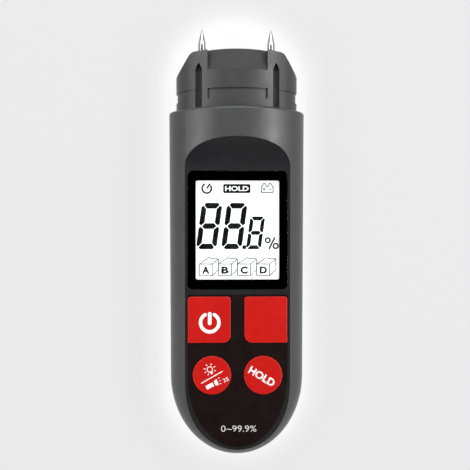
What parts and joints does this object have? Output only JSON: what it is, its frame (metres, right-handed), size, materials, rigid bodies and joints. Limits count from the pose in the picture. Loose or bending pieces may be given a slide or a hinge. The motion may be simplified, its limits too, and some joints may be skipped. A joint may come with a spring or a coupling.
{
  "type": "wood moisture meter",
  "caption": "Handheld two-pin wood moisture meter with a domed foot, display window, keys and a battery door in its back.",
  "frame": {"origin": "in the plane of the flat back, under the middle of the whole length and width", "axes": "+Z out of the face, +Y along the measuring pins, +X across to the right as the face is read"},
  "size_m": [0.04, 0.1262, 0.025],
  "materials": {
    "housing": "matte moulded plastic with a fine even texture",
    "head": "matte moulded plastic",
    "panel": "satin black plastic",
    "overlay": "printed film, satin brown-black",
    "window": "clear acrylic",
    "mask": "gloss black print",
    "display_frame": "white plastic",
    "display_glass": "display glass",
    "light_guide": "frosted white acrylic",
    "elastomer": "layered silicone",
    "lamp": "clear cast resin",
    "board": "glass fibre board with green lacquer",
    "chip": "moulded black epoxy",
    "component": "ceramic chip parts",
    "brass": "turned brass",
    "contact": "nickel-plated spring steel",
    "lens": "clear plastic lens",
    "screw": "zinc-plated steel",
    "cell": "sleeved steel can",
    "pin_steel": "polished stainless steel",
    "key": "satin red plastic",
    "switch": "black plastic",
    "plunger": "white plastic"
  },
  "bodies": {
    "housing": {"front_shell": "housing", "rear_shell": "housing", "face_panel": "panel", "face_overlay": "overlay", "lcd_window": "window", "window_mask": "mask", "lcd_frame": "display_frame", "lcd_glass": "display_glass", "light_guide": "light_guide", "lcd_contact_strips": "elastomer", "backlight_lamps": "lamp", "main_board": "board", "controller_chip": "chip", "amplifier_chip": "chip", "small_components": "component", "probe_head": "head", "pin_sockets": "brass", "pin_contacts": "contact", "torch_led": "lamp", "torch_lens": "lens", "positive_contact": "contact", "negative_contact": "contact", "bridge_contact": "contact", "battery_springs": "contact", "housing_screws": "screw", "board_screws": "screw", "left_cell": "cell", "right_cell": "cell", "left_pin": "pin_steel", "right_pin": "pin_steel", "power_switch": "switch", "select_switch": "switch", "light_switch": "switch", "hold_switch": "switch"},
    "power_button": {"power_key": "key", "power_plunger": "plunger"},
    "select_button": {"select_key": "key", "select_plunger": "plunger"},
    "light_button": {"light_key": "key", "light_plunger": "plunger"},
    "hold_button": {"hold_key": "key", "hold_plunger": "plunger"},
    "door": {"battery_door": "housing"}
  },
  "joints": [
    {"name": "power_press", "type": "slide", "parent": "housing", "child": "power_button", "axis": [0, 0, -1], "range_m": [0, 0.0004], "stiffness_N_per_m": 2500, "springref_m": -0.0002},
    {"name": "select_press", "type": "slide", "parent": "housing", "child": "select_button", "axis": [0, 0, -1], "range_m": [0, 0.0004], "stiffness_N_per_m": 2500, "springref_m": -0.0002},
    {"name": "light_press", "type": "slide", "parent": "housing", "child": "light_button", "axis": [0, 0, -1], "range_m": [0, 0.0004], "stiffness_N_per_m": 2500, "springref_m": -0.0002},
    {"name": "hold_press", "type": "slide", "parent": "housing", "child": "hold_button", "axis": [0, 0, -1], "range_m": [0, 0.0004], "stiffness_N_per_m": 2500, "springref_m": -0.0002},
    {"name": "door_slide", "type": "slide", "parent": "housing", "child": "door", "axis": [0, -1, 0], "range_m": [0, 0.005]}
  ]
}
